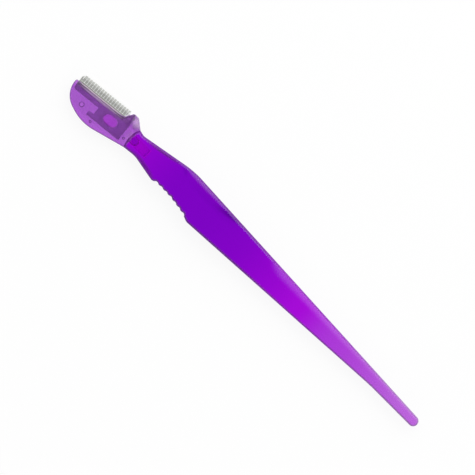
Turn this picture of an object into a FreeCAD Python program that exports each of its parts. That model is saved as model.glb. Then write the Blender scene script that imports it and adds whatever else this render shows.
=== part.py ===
import FreeCAD, Part
import Sketcher
import math
import os
import re

# Eyebrow razor lying on its back: +X points to the tail, +Y to the cutting edge and +Z up, out of
# the front face. The origin is below the middle of its length, on the surface that it lies on.
# Lengths are millimetres and angles are degrees. A station is a distance along X from the feature
# that its group's note names, so a feature moves with the one that it follows.
SIZES = {
    "overall_length": 150.0,
    # handle, side view: the grip from the neck, level along its length on the back and along the
    # crown's on the front, and the shank from the grip's rear
    "grip_thickness": 4.8,
    "neck_thickness": 3.4,
    "shank_thickness": 2.9,
    "tail_thickness": 1.8,
    "grip_station": 18.7,
    "grip_length": 29.0,
    "crown_length": 17.0,
    "shank_station": 24.0,
    "profile_round": 150.0,
    # handle, lower side in plan: the neck from the blade's end, then each from the one before, but
    # the taper's end from the tail
    "neck_station": 3.45,
    "neck_upper": 3.75,
    "neck_lower": 3.47,
    "seam_radius": 8.1,
    "waist_lower_station": 4.3,
    "waist_lower": 2.98,
    "waist_lower_round": 8.0,
    "bump_station": 8.8,
    "bump": 4.6,
    "bump_round": 1.0,
    "recess_station": 1.8,
    "recess_front": 4.0,
    "recess_middle": 4.17,
    "recess_rear": 5.1,
    "recess_round": 0.8,
    "recess_bend_round": 30.0,
    "heel_station": 2.64,
    "heel": 6.16,
    "heel_round": 2.5,
    "taper_end_station": 19.0,
    "tail_lower": 1.72,
    "tail_upper": 1.5,
    "tail_flat": 0.1,
    "taper_round": 60.0,
    # handle, upper side in plan: the waist from the neck, the crest from the waist
    "waist_upper_station": 2.0,
    "waist_upper": 3.33,
    "waist_upper_round": 2.5,
    "crest_station": 18.7,
    "crest": 6.68,
    "crest_round": 32.0,
    "handle_edge_round": 0.8,
    # finger ribs along the recess
    "rib_pitch": 2.06,
    "rib_depth": 0.25,
    "rib_gap": 0.08,
    # thumb facet on the front behind the crest and inside it, swept about an upright axis
    "thumb_station": 10.0,
    "thumb_inner": 1.63,
    "thumb_sweep": 150.0,
    "thumb_slope": 16.0,
    # head halves: the belly from the tip and below the blade, the shoulder round the blade's end and
    # above its edge
    "head_half_thickness": 1.1,
    "tip_height": 1.17,
    "tip_round": 0.6,
    "nose_setback": 0.54,
    "nose_drop": 4.38,
    "nose_round": 7.2,
    "belly_station": 10.47,
    "belly": 0.8,
    "belly_round": 15.0,
    "shoulder_root": 3.05,
    "shoulder_root_round": 1.3,
    "shoulder_front_station": 1.5,
    "shoulder_rear_station": 0.45,
    "shoulder": 0.157,
    "shoulder_round": 0.9,
    "head_edge_round": 0.5,
    "seam_gap": 0.15,
    # tang of the rear half in the handle's socket, with its stud, both from the neck
    "tang_length": 6.6,
    "tang_width": 3.2,
    "tang_thickness": 1.4,
    "tang_centre": 0.2,
    "tang_root": 2.0,
    "tang_lead": 0.3,
    "tang_fit": 0.05,
    "socket_spare": 0.3,
    "stud_station": 1.1,
    "stud_radius": 1.0,
    "stud_height": 0.4,
    "stud_clearance": 0.3,
    "keyway_flat": 0.2,
    # pegs of the rear half in the front half's holes: one ahead of the blade's hook, one below the
    # blade, two behind its end
    "peg_height": 0.6,
    "peg_fit": 0.03,
    "peg_spare": 0.1,
    "large_peg_radius": 0.8,
    "small_peg_radius": 0.38,
    "front_peg_station": 2.4,
    "front_peg_drop": 3.3,
    "belly_peg_station": 12.3,
    "belly_peg_drop": 0.95,
    "rear_peg_station": 1.35,
    "rear_peg_upper": 3.1,
    "rear_peg_lower": 1.6,
    # blade, along and across its own edge from the head's tip, its hook, notch and hole from its end
    "blade_tilt": 6.14,
    "blade_thickness": 0.2,
    "blade_start": 0.95,
    "blade_length": 20.9,
    "blade_edge": 2.5,
    "blade_bevel": 0.9,
    "blade_edge_land": 0.03,
    "blade_strip_depth": 2.8,
    "blade_strip_round": 0.9,
    "blade_deep_depth": 6.7,
    "hook_start": 12.75,
    "hook_depth": 5.25,
    "notch_end": 10.95,
    "hole_centre": 5.55,
    "hole_depth": 3.57,
    "hole_length": 5.0,
    "hole_width": 3.1,
    "hole_flat": 0.2,
    "hole_fit": 0.15,
    "blade_fit": 0.05,
    "clamp_gap": 0.01,
    # skin guard, a comb folded over the cutting edge: its tip beyond the edge, its crease inside it
    "guard_length": 20.0,
    "guard_inset": 0.9,
    "guard_sheet": 0.12,
    "guard_gap": 0.02,
    "guard_leg": 1.1,
    "guard_crease": 0.8,
    "guard_tip": 0.22,
    "guard_nose": 0.06,
    "edge_corner": 0.9,
    "slot_first": 1.6,
    "slot_pitch": 0.95,
    "slot_width": 0.25,
    "slot_root": 0.35,
    "slot_margin": 1.0,
    # room that the cutting sketches reach past the solid
    "cut_margin": 2.0,
}

doc = FreeCAD.newDocument("eyebrow_razor")
sheet = doc.addObject("Spreadsheet::Sheet", "Dims")
for row, (alias, size) in enumerate(SIZES.items(), start=1):
    sheet.set(f"A{row}", alias)
    sheet.set(f"B{row}", str(size))
    sheet.setAlias(f"B{row}", alias)
doc.recompute()

# Places that several pieces share, as formulas of the sizes.
TIP = "-overall_length / 2"
TAIL = "overall_length / 2"
MIDDLE = "grip_thickness / 2"
BLADE_END = "(blade_start + blade_length)"
GUARD_END = "(blade_start + guard_length)"
GUARD_TIP = "(blade_edge + guard_tip)"
GUARD_CREASE = "(blade_edge - guard_crease)"
GUARD_HALF = "(blade_thickness / 2 + guard_gap + guard_sheet)"
# The head reaches from its tip past the blade's end, and past the guard's by its inset.
REACH = f"max({BLADE_END}; {GUARD_END} + guard_inset)"
HEAD_END = f"({TIP} + {REACH})"
EDGE_AT_END = f"(tip_height + {REACH} * sin(blade_tilt) + blade_edge * cos(blade_tilt))"
NECK = f"({HEAD_END} + neck_station)"
SEAM_Y = "((neck_upper - neck_lower) / 2)"
SEAM_X = f"({NECK} + sqrt(seam_radius^2 - ((neck_upper + neck_lower) / 2)^2))"
WAIST_LOWER = f"({NECK} + waist_lower_station)"
BUMP = f"({WAIST_LOWER} + bump_station)"
RECESS = f"({BUMP} + recess_station)"
WAIST_UPPER = f"({NECK} + waist_upper_station)"
CREST = f"({WAIST_UPPER} + crest_station)"

# The recess holds this many ribs, and its floor bends below the middle of the row.
RIB_COUNT = 6
RECESS_BEND = f"({RECESS} + rib_pitch * {RIB_COUNT} / 2)"
RECESS_END = f"({RECESS} + rib_pitch * {RIB_COUNT})"

# Edges are picked by where they lie, to this length, and by their direction's share along an axis.
TOUCH = 0.001
STEEP = 0.5
SQUARE = 0.999


def on_sheet(formula):
    """The formula with each size's name pointed at its cell."""
    return re.sub(r"[a-z_]+", lambda word: f"Dims.{word[0]}" if word[0] in SIZES else word[0], formula)


def value(formula):
    """The formula's number for the sizes on the sheet."""
    return float(sheet.evalExpression(on_sheet(formula)))


def bind(thing, prop, formula):
    """Set a property of a document object from the sheet."""
    thing.setExpression(prop, on_sheet(formula))


def make_body(label):
    body = doc.addObject("PartDesign::Body", label)
    body.Label = label
    return body


def make_sketch(body, name, role, turn_about=None, **offset):
    """A sketch on one of the body's own planes, moved by its offset x, y and z there. turn_about is
    the plane's own axis that lies along +Z, and turns the sketch to the cutting edge's slant."""
    sketch = body.newObject("Sketcher::SketchObject", name)
    plane = next(item for item in body.Origin.OriginFeatures if item.Role == role)
    sketch.AttachmentSupport = [(plane, "")]
    sketch.MapMode = "FlatFace"
    if turn_about:
        turn = FreeCAD.Rotation(FreeCAD.Vector(*turn_about), value("blade_tilt"))
        sketch.AttachmentOffset = FreeCAD.Placement(FreeCAD.Vector(), turn)
        bind(sketch, "AttachmentOffset.Rotation.Angle", "blade_tilt")
    for axis, formula in offset.items():
        bind(sketch, f"AttachmentOffset.Base.{axis}", formula)
    return sketch


def plan_sketch(body, name, height):
    """A sketch seen from the front, at a height."""
    return make_sketch(body, name, "XY_Plane", z=height)


def side_sketch(body, name, across="0"):
    """A sketch seen from the handle's side, with its y axis up from the middle plane."""
    return make_sketch(body, name, "XZ_Plane", y=MIDDLE, z=f"-({across})")


def edge_plan_sketch(body, name, height):
    """A plan sketch whose x axis runs along the cutting edge's foot, from the head's tip."""
    return make_sketch(body, name, "XY_Plane", (0, 0, 1), x=TIP, y="tip_height", z=height)


def edge_section_sketch(body, name):
    """A sketch across the blade at its front end: x out to the cutting edge, y up from the middle."""
    return make_sketch(body, name, "YZ_Plane", (0, 1, 0), x="tip_height + blade_start * sin(blade_tilt)",
                       y=MIDDLE, z=f"{TIP} + blade_start * cos(blade_tilt)")


def constrain(sketch, formula, *constraint):
    """Add a dimension that follows the sheet."""
    index = sketch.addConstraint(Sketcher.Constraint(*constraint, value(formula)))
    bind(sketch, f"Constraints[{index}]", formula)


def pin_point(sketch, geometry, point, x, y):
    """Hold a point at x, y from the sketch's origin."""
    constrain(sketch, x, "DistanceX", -1, 1, geometry, point)
    constrain(sketch, y, "DistanceY", -1, 1, geometry, point)


def arc_from(centre, first, last):
    """The anticlockwise arc about a centre from one point to another."""
    circle = Part.Circle(centre, FreeCAD.Vector(0, 0, 1), (first - centre).Length)
    angles = [math.atan2((end - centre).y, (end - centre).x) for end in (first, last)]
    return Part.ArcOfCircle(circle, *angles)


def add_circle(sketch, x, y, radius):
    centre = FreeCAD.Vector(value(x), value(y), 0)
    circle = sketch.addGeometry(Part.Circle(centre, FreeCAD.Vector(0, 0, 1), value(radius)))
    pin_point(sketch, circle, 3, x, y)
    constrain(sketch, radius, "Radius", circle)


def add_outline(sketch, corners):
    """A closed outline, anticlockwise. A corner is (x, y), or (x, y, round) with a tangent arc of
    that radius, or (x, y, None, bow) where the side that follows bows out on that radius."""
    points = [FreeCAD.Vector(value(corner[0]), value(corner[1]), 0) for corner in corners]
    following = points[1:] + points[:1]
    side_starts = list(points)
    side_ends = list(points)
    centres = {}
    for i, corner in enumerate(corners):
        if len(corner) != 3:
            continue
        back = (points[i - 1] - points[i]).normalize()
        ahead = (following[i] - points[i]).normalize()
        half_angle = back.getAngle(ahead) / 2
        radius = value(corner[2])
        side_ends[i] = points[i] + back * (radius / math.tan(half_angle))
        side_starts[i] = points[i] + ahead * (radius / math.tan(half_angle))
        centres[i] = points[i] + (back + ahead).normalize() * (radius / math.sin(half_angle))

    sides = []
    for corner, first, last in zip(corners, side_starts, side_ends[1:] + side_ends[:1]):
        if len(corner) < 4:
            sides.append(sketch.addGeometry(Part.LineSegment(first, last)))
            continue
        chord = last - first
        inwards = FreeCAD.Vector(-chord.y, chord.x, 0).normalize()
        depth = math.sqrt(value(corner[3]) ** 2 - (chord.Length / 2) ** 2)
        sides.append(sketch.addGeometry(arc_from((first + last) / 2 + inwards * depth, first, last)))
        constrain(sketch, corner[3], "Radius", sides[-1])

    for i, corner in enumerate(corners):
        before, after = sides[i - 1], sides[i]
        if i not in centres:
            sketch.addConstraint(Sketcher.Constraint("Coincident", before, 2, after, 1))
            pin_point(sketch, after, 1, corner[0], corner[1])
            continue
        turns_left = (points[i] - points[i - 1]).cross(following[i] - points[i]).z > 0
        if turns_left:
            arc = sketch.addGeometry(arc_from(centres[i], side_ends[i], side_starts[i]))
        else:
            arc = sketch.addGeometry(arc_from(centres[i], side_starts[i], side_ends[i]))
        tip = sketch.addGeometry(Part.Point(points[i]), True)
        pin_point(sketch, tip, 1, corner[0], corner[1])
        sketch.addConstraint([
            Sketcher.Constraint("PointOnObject", tip, 1, before),
            Sketcher.Constraint("PointOnObject", tip, 1, after),
            Sketcher.Constraint("Tangent", before, 2, arc, 1 if turns_left else 2),
            Sketcher.Constraint("Tangent", after, 1, arc, 2 if turns_left else 1),
        ])
        constrain(sketch, corner[2], "Radius", arc)


def add_rectangle(sketch, left, bottom, right, top):
    add_outline(sketch, [(left, bottom), (right, bottom), (right, top), (left, top)])


def add_slot(sketch, left, right, middle, width, flat):
    """A long hole with all but a short flat of each end rounded."""
    low, high, end_round = f"{middle} - {width} / 2", f"{middle} + {width} / 2", f"({width} - {flat}) / 2"
    add_outline(sketch, [(left, low, end_round), (right, low, end_round),
                         (right, high, end_round), (left, high, end_round)])


def pad(body, name, sketch, length, both_ways=False):
    feature = body.newObject("PartDesign::Pad", name)
    feature.Profile = sketch
    bind(feature, "Length", length)
    if both_ways:
        feature.SideType = "Symmetric"
    doc.recompute()
    return feature


def pocket(body, name, sketch, length=None, ahead=False):
    """Cut a sketch into the body, against the sketch's normal or ahead along it, to a length or right
    through."""
    volume = body.Shape.Volume
    feature = body.newObject("PartDesign::Pocket", name)
    feature.Profile = sketch
    feature.Reversed = ahead
    if length:
        bind(feature, "Length", length)
    else:
        feature.Type = "ThroughAll"
    doc.recompute()
    if not body.Shape.Volume < volume:
        raise RuntimeError(f"{name} cuts nothing")
    return feature


def round_edges(body, name, radius, picked):
    """Fillet the edges that the test picks."""
    base = body.Tip
    names = [f"Edge{i}" for i, edge in enumerate(base.Shape.Edges, start=1) if picked(edge)]
    fillet = body.newObject("PartDesign::Fillet", name)
    fillet.Base = (base, names)
    bind(fillet, "Radius", radius)
    doc.recompute()


def edge_middle(edge):
    return edge.valueAt((edge.FirstParameter + edge.LastParameter) / 2)


# The handle: a blank of the side view's shape, cut to the plan outline and rounded along its edges.
handle = make_body("handle")
side = side_sketch(handle, "handle_side")
blank_front = f"{NECK} - cut_margin"
blank_rear = f"{TAIL} + cut_margin"
grip_front = f"{NECK} + grip_station"
grip_rear = f"{grip_front} + grip_length"
shank = f"{grip_rear} + shank_station"
add_outline(side, [
    (blank_front, "-neck_thickness / 2"),
    (grip_front, "-grip_thickness / 2", "profile_round"),
    (grip_rear, "-grip_thickness / 2", "profile_round"),
    (shank, "-shank_thickness / 2", "profile_round"),
    (blank_rear, "-tail_thickness / 2"),
    (blank_rear, "tail_thickness / 2"),
    (shank, "shank_thickness / 2", "profile_round"),
    (f"{grip_front} + crown_length", "grip_thickness / 2", "profile_round"),
    (grip_front, "grip_thickness / 2", "profile_round"),
    (blank_front, "neck_thickness / 2"),
])
pad(handle, "handle_blank", side, "2 * (crest + cut_margin)", both_ways=True)

plan = plan_sketch(handle, "handle_plan", "0")
tail_round = "(tail_upper + tail_lower - tail_flat) / 2"
add_rectangle(plan, f"{NECK} - 2 * cut_margin", "-crest - 2 * cut_margin",
              f"{TAIL} + 2 * cut_margin", "crest + 2 * cut_margin")
add_outline(plan, [
    (NECK, "-neck_lower"),
    (WAIST_LOWER, "-waist_lower", "waist_lower_round"),
    (BUMP, "-bump", "bump_round"),
    (RECESS, "-recess_front", "recess_round"),
    (RECESS_BEND, "-recess_middle", "recess_bend_round"),
    (RECESS_END, "-recess_rear", "recess_round"),
    (f"{RECESS_END} + heel_station", "-heel", "heel_round"),
    (f"{TAIL} - taper_end_station", "-tail_lower", "taper_round"),
    (TAIL, "-tail_lower", tail_round),
    (TAIL, "tail_upper", tail_round),
    (CREST, "crest", "crest_round"),
    (WAIST_UPPER, "waist_upper", "waist_upper_round"),
    (NECK, "neck_upper", None, "seam_radius"),
])
pocket(handle, "handle_outline", plan, ahead=True)


def is_long_edge(edge):
    """Along the handle's outline on the front or the back, leaving out the neck's end, the upright
    edges and the lines where the side view's arcs begin."""
    middle = edge_middle(edge)
    run = edge.tangentAt(edge.FirstParameter)
    on_face = abs(run.z) < STEEP and middle.x > value(NECK)
    across_face = abs(run.y) > SQUARE and middle.x < value(TAIL) - value("tail_flat")
    return on_face and not across_face


# The rounding leaves the thin tail a side between its front and back.
tail_limit = "0.45 * tail_thickness"
round_edges(handle, "handle_edges", f"min(handle_edge_round; {tail_limit})", is_long_edge)

# Scallops across the recess leave the finger ribs standing between them.
scallops = plan_sketch(handle, "rib_scallops", "0")
scallop_radius = "(rib_pitch - rib_gap) / 2"
for i in range(RIB_COUNT + 1):
    halves = 2 * i / RIB_COUNT
    floor = (f"(recess_front + (recess_middle - recess_front) * {min(halves, 1)}"
             f" + (recess_rear - recess_middle) * {max(halves - 1, 0)})")
    add_circle(scallops, f"{RECESS} + rib_pitch * {i}",
               f"-{floor} - {scallop_radius} + rib_depth", scallop_radius)
pocket(handle, "ribs", scallops, ahead=True)

# The thumb facet slopes down outwards from a wide arc on the front face.
facet = make_sketch(handle, "thumb_facet_section", "YZ_Plane", x="crest - thumb_inner + thumb_sweep",
                    z=f"{CREST} + thumb_station")
facet_fall = "tan(thumb_slope)"
add_outline(facet, [
    ("-thumb_sweep - cut_margin", f"grip_thickness + cut_margin * {facet_fall}"),
    ("-thumb_sweep + cut_margin", f"grip_thickness - cut_margin * {facet_fall}"),
    ("-thumb_sweep + cut_margin", f"grip_thickness + cut_margin * {facet_fall}"),
])
uncut = handle.Shape.Volume
thumb_facet = handle.newObject("PartDesign::Groove", "thumb_facet")
thumb_facet.Profile = facet
thumb_facet.ReferenceAxis = (facet, ["V_Axis"])
thumb_facet.Angle = 360
doc.recompute()
if not handle.Shape.Volume < uncut:
    raise RuntimeError("thumb_facet cuts nothing")

# The socket takes the head's tang, and a keyway in its roof takes the stud.
socket = make_sketch(handle, "socket_section", "YZ_Plane", x="tang_centre", y=MIDDLE, z=blank_front)
socket_half_width = "(tang_width / 2 + tang_fit)"
socket_half_height = "(tang_thickness / 2 + tang_fit)"
add_rectangle(socket, f"-{socket_half_width}", f"-{socket_half_height}",
              socket_half_width, socket_half_height)
pocket(handle, "socket", socket, "cut_margin + tang_length + socket_spare", ahead=True)

keyway = plan_sketch(handle, "keyway_plan", MIDDLE)
keyway_radius = "(stud_radius + stud_clearance)"
keyway_round = f"({keyway_radius} - keyway_flat / 2)"
keyway_end = f"{NECK} + stud_station + {keyway_radius}"
add_outline(keyway, [
    (blank_front, f"tang_centre - {keyway_radius}"),
    (keyway_end, f"tang_centre - {keyway_radius}", keyway_round),
    (keyway_end, f"tang_centre + {keyway_radius}", keyway_round),
    (blank_front, f"tang_centre + {keyway_radius}"),
])
pocket(handle, "keyway", keyway, f"{socket_half_height} + stud_height", ahead=True)

# The two halves of the head share one outline, cut back to the handle's rounded end.
HEAD_OUTLINE = [
    (TIP, "tip_height", "tip_round"),
    (f"{TIP} + nose_setback", "-nose_drop", "nose_round"),
    (f"{TIP} + belly_station", "-blade_deep_depth - belly", "belly_round"),
    (NECK, "-neck_lower"),
    (NECK, "neck_upper"),
    (f"{HEAD_END} + shoulder_rear_station", f"{EDGE_AT_END} + shoulder", "shoulder_round"),
    (f"{HEAD_END} - shoulder_front_station", f"{EDGE_AT_END} + shoulder", "shoulder_round"),
    (f"{TIP} + ({REACH} - shoulder_root) * cos(blade_tilt)",
     f"tip_height + ({REACH} - shoulder_root) * sin(blade_tilt)", "shoulder_root_round"),
]
BLADE_RECESS = "(blade_thickness / 2 + clamp_gap)"
BELOW_BLADE = "(tip_height + belly_peg_station * tan(blade_tilt) - blade_deep_depth / cos(blade_tilt))"
PEGS = [
    (f"{TIP} + {BLADE_END} - hook_start - front_peg_station", "-front_peg_drop", "large_peg_radius"),
    (f"{TIP} + belly_peg_station", f"{BELOW_BLADE} - belly_peg_drop", "small_peg_radius"),
    (f"{HEAD_END} + rear_peg_station", "rear_peg_upper", "small_peg_radius"),
    (f"{HEAD_END} + rear_peg_station", "-rear_peg_lower", "small_peg_radius"),
]


def make_head_half(label, underside, outer_face):
    """One half of the head, with its outer edges rounded and its end fitted to the handle."""
    body = make_body(label)
    outline = plan_sketch(body, f"{label}_plan", underside)
    add_outline(outline, HEAD_OUTLINE)
    pad(body, f"{label}_plate", outline, "head_half_thickness")

    def is_outer_edge(edge):
        box = edge.BoundBox
        on_face = box.ZLength < TOUCH and abs(box.ZMin - value(outer_face)) < TOUCH
        return on_face and edge_middle(edge).x < value(NECK) - TOUCH

    round_edges(body, f"{label}_edges", "head_edge_round", is_outer_edge)
    seam = plan_sketch(body, f"{label}_seam", underside)
    add_circle(seam, SEAM_X, SEAM_Y, "seam_radius + seam_gap")
    pocket(body, f"{label}_end", seam, ahead=True)
    return body


def edge_corners(end, edge, grow):
    """The side of a piece's outline along the cutting edge, with both of its corners cut off."""
    cut, outer = f"{edge} - edge_corner + {grow}", f"{edge} + {grow}"
    return [(f"{end} + {grow}", cut), (f"{end} - edge_corner + {grow}", outer),
            (f"blade_start + edge_corner - {grow}", outer), (f"blade_start - {grow}", cut)]


def guard_corners(grow):
    """The folded guard's outline seen from the front, grown all round by a clearance."""
    foot = f"-guard_leg - {grow}"
    return [(f"blade_start - {grow}", foot), (f"{GUARD_END} + {grow}", foot),
            *edge_corners(GUARD_END, GUARD_TIP, grow)]


def blade_corners(grow):
    """The blade's outline, grown all round by a clearance. The strip at the front runs into a deep
    part with a hooked notch in its front side."""
    strip, deep = f"-blade_strip_depth - {grow}", f"-blade_deep_depth - {grow}"
    hook_front, hook_top = f"{BLADE_END} - hook_start - {grow}", f"-hook_depth + {grow}"
    notch_end = f"{BLADE_END} - notch_end - {grow}"
    return [(f"blade_start - {grow}", strip, "blade_strip_round"), (notch_end, strip), (notch_end, hook_top),
            (hook_front, hook_top), (hook_front, deep), (f"{BLADE_END} + {grow}", deep),
            *edge_corners(BLADE_END, "blade_edge", grow)]


def cut_blade_seat(body, ahead):
    """Recess a half of the head for its side of the blade and of the guard's leg."""
    for name, corners, depth in (("guard_seat", guard_corners("blade_fit"), f"{GUARD_HALF} + clamp_gap"),
                                 ("blade_seat", blade_corners("blade_fit"), BLADE_RECESS)):
        seat = edge_plan_sketch(body, f"{body.Label}_{name}_plan", MIDDLE)
        add_outline(seat, corners)
        pocket(body, f"{body.Label}_{name}", seat, depth, ahead)


def add_hole_outline(sketch, shrink):
    """The blade's oval hole, or the boss in it, made smaller all round by a clearance."""
    half_length = f"(hole_length / 2 - {shrink})"
    centre = f"{BLADE_END} - hole_centre"
    add_slot(sketch, f"{centre} - {half_length}", f"{centre} + {half_length}", "-hole_depth",
             f"(hole_width - 2 * {shrink})", "hole_flat")


# Rear half: it carries the blade on a boss, the pegs for the front half, and the tang with its stud.
head_base = make_head_half("head_base", f"{MIDDLE} - head_half_thickness", f"{MIDDLE} - head_half_thickness")
cut_blade_seat(head_base, ahead=False)
boss = edge_plan_sketch(head_base, "boss_plan", f"{MIDDLE} - {BLADE_RECESS}")
add_hole_outline(boss, "hole_fit")
pad(head_base, "blade_boss", boss, f"{BLADE_RECESS} + peg_height")
pegs = plan_sketch(head_base, "peg_plan", f"{MIDDLE} - clamp_gap")
for along, across, radius in PEGS:
    add_circle(pegs, along, across, radius)
pad(head_base, "pegs", pegs, "clamp_gap + peg_height")
tang = side_sketch(head_base, "tang_side", "tang_centre")
tang_end = f"{NECK} + tang_length"
add_outline(tang, [
    (f"{NECK} - tang_root", "-tang_thickness / 2"),
    (tang_end, "-tang_thickness / 2", "tang_lead"),
    (tang_end, "tang_thickness / 2", "tang_lead"),
    (NECK, "tang_thickness / 2"),
    (NECK, "-clamp_gap"),
    (f"{NECK} - tang_root", "-clamp_gap"),
])
pad(head_base, "tang", tang, "tang_width", both_ways=True)
stud = plan_sketch(head_base, "stud_plan", MIDDLE)
add_circle(stud, f"{NECK} + stud_station", "tang_centre", "stud_radius")
pad(head_base, "stud", stud, "tang_thickness / 2 + stud_height")

# Front half: blind holes for the boss and the pegs.
head_cover = make_head_half("head_cover", MIDDLE, f"{MIDDLE} + head_half_thickness")
cut_blade_seat(head_cover, ahead=True)
boss_hole = edge_plan_sketch(head_cover, "boss_hole_plan", MIDDLE)
add_hole_outline(boss_hole, "(hole_fit - peg_fit)")
pocket(head_cover, "boss_hole", boss_hole, "peg_height + peg_spare", ahead=True)
peg_holes = plan_sketch(head_cover, "peg_hole_plan", MIDDLE)
for along, across, radius in PEGS:
    add_circle(peg_holes, along, across, f"{radius} + peg_fit")
pocket(head_cover, "peg_holes", peg_holes, "peg_height + peg_spare", ahead=True)

# Blade: a stamped strip with an oval hole, ground to an edge from both sides.
blade = make_body("blade")
strip = edge_plan_sketch(blade, "blade_plan", f"{MIDDLE} - blade_thickness / 2")
add_outline(strip, blade_corners("0"))
pad(blade, "blade_strip", strip, "blade_thickness")
hole = edge_plan_sketch(blade, "hole_plan", f"{MIDDLE} - blade_thickness / 2")
add_hole_outline(hole, "0")
pocket(blade, "oval_hole", hole, ahead=True)
grind = edge_section_sketch(blade, "grind_section")
# Each wedge starts at the bevel's top and passes half the edge's land above or below the middle.
beyond_edge = "blade_edge + blade_bevel"
wedge_foot = "(blade_edge_land - blade_thickness / 2)"
add_outline(grind, [("blade_edge - blade_bevel", "blade_thickness / 2"), (beyond_edge, wedge_foot),
                    (beyond_edge, "blade_thickness")])
add_outline(grind, [("blade_edge - blade_bevel", "-blade_thickness / 2"), (beyond_edge, "-blade_thickness"),
                    (beyond_edge, f"-{wedge_foot}")])
pocket(blade, "ground_edge", grind, "blade_length + cut_margin", ahead=True)

# Skin guard: a comb folded over the cutting edge, with a slot through the fold at every pitch.
skin_guard = make_body("skin_guard")
fold = edge_section_sketch(skin_guard, "guard_section")
inner_half = "(blade_thickness / 2 + guard_gap)"
inner_tip = f"{GUARD_TIP} - guard_sheet - guard_gap"
add_outline(fold, [
    ("-guard_leg", f"-{GUARD_HALF}"),
    (GUARD_CREASE, f"-{GUARD_HALF}"),
    (GUARD_TIP, "-guard_nose"),
    (GUARD_TIP, "guard_nose"),
    (GUARD_CREASE, GUARD_HALF),
    ("-guard_leg", GUARD_HALF),
    ("-guard_leg", inner_half),
    (GUARD_CREASE, inner_half),
    (inner_tip, "guard_gap"),
    (inner_tip, "-guard_gap"),
    (GUARD_CREASE, f"-{inner_half}"),
    ("-guard_leg", f"-{inner_half}"),
])
pad(skin_guard, "folded_strip", fold, "guard_length")
above_guard = f"{MIDDLE} + {GUARD_HALF} + cut_margin"
ends = edge_plan_sketch(skin_guard, "end_corner_plan", above_guard)
below_tip, above_tip = f"{GUARD_TIP} - edge_corner - cut_margin", f"{GUARD_TIP} + cut_margin"
add_outline(ends, [("blade_start - cut_margin", below_tip),
                   ("blade_start + edge_corner + cut_margin", above_tip),
                   ("blade_start - cut_margin", above_tip)])
add_outline(ends, [(f"{GUARD_END} + cut_margin", below_tip),
                   (f"{GUARD_END} + cut_margin", above_tip),
                   (f"{GUARD_END} - edge_corner - cut_margin", above_tip)])
pocket(skin_guard, "end_corners", ends)
slot = edge_plan_sketch(skin_guard, "slot_plan", above_guard)
add_rectangle(slot, "slot_first - slot_width / 2", "slot_root", "slot_first + slot_width / 2", above_tip)
first_slot = pocket(skin_guard, "first_slot", slot)
slot_steps = f"floor(({GUARD_END} - slot_first - slot_margin) / slot_pitch)"
comb = skin_guard.newObject("PartDesign::LinearPattern", "comb")
comb.Originals = [first_slot]
comb.Direction = (slot, ["H_Axis"])
bind(comb, "Length", f"slot_pitch * {slot_steps}")
bind(comb, "Occurrences", f"{slot_steps} + 1")
skin_guard.Tip = comb
doc.recompute()

failed = [item.Name for item in doc.Objects if {"Invalid", "Error"} & set(item.State)]
if failed:
    raise RuntimeError(f"features that failed: {failed}")
pieces = [handle, head_base, head_cover, blade, skin_guard]
for piece in pieces:
    if piece.Shape.isNull() or not piece.Shape.isValid():
        raise RuntimeError(f"{piece.Label} has no valid shape")
os.makedirs("parts", exist_ok=True)
for piece in pieces:
    piece.Shape.exportStep(f"parts/{piece.Label}.step")
    box = piece.Shape.BoundBox
    print(f"{piece.Label}: {len(piece.Shape.Solids)} solid, {piece.Shape.Volume:.2f} mm3, "
          f"x {box.XMin:.2f} to {box.XMax:.2f}, y {box.YMin:.2f} to {box.YMax:.2f}, "
          f"z {box.ZMin:.2f} to {box.ZMax:.2f}")
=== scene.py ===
import math

import bmesh
import bpy
import numpy as np
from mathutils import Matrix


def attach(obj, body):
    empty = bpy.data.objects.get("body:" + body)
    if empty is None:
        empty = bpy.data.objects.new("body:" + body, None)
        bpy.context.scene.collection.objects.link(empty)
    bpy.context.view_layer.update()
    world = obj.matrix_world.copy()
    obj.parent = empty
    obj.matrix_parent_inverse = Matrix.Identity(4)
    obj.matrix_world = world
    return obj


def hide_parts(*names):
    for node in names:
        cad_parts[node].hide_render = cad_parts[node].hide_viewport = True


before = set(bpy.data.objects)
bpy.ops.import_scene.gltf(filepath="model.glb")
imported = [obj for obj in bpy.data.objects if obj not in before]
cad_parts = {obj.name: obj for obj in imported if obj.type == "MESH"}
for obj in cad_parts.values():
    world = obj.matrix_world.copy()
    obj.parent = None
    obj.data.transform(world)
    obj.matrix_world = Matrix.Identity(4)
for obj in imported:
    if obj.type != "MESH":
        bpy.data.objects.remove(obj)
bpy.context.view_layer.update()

# Lengths in the dictionaries are millimetres in the CAD's own frame; meshes are made in metres.
mm = 0.001
midHeight = 2.4      # plane that the head's halves meet on
samePoint = 1e-6     # points of an outline nearer than this are one
weld = {"merge": 2e-7, "sliver": 1e-7}              # points and faces cleaned up below these, in metres
arcSteps = {"plan": 25, "strip": 17, "section": 9}  # points on each rounded corner
turnSteps = {"peg": 48, "stud": 64, "seam": 720}    # points round a turned solid
# levels that the steel's tools run between, and how far its raw section runs past the plan
cutOver = {"levels": (1, 4), "run": 0.5, "side": 1.0}
scene = bpy.context.scene
print("frame loaded:", sorted(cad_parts))


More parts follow.
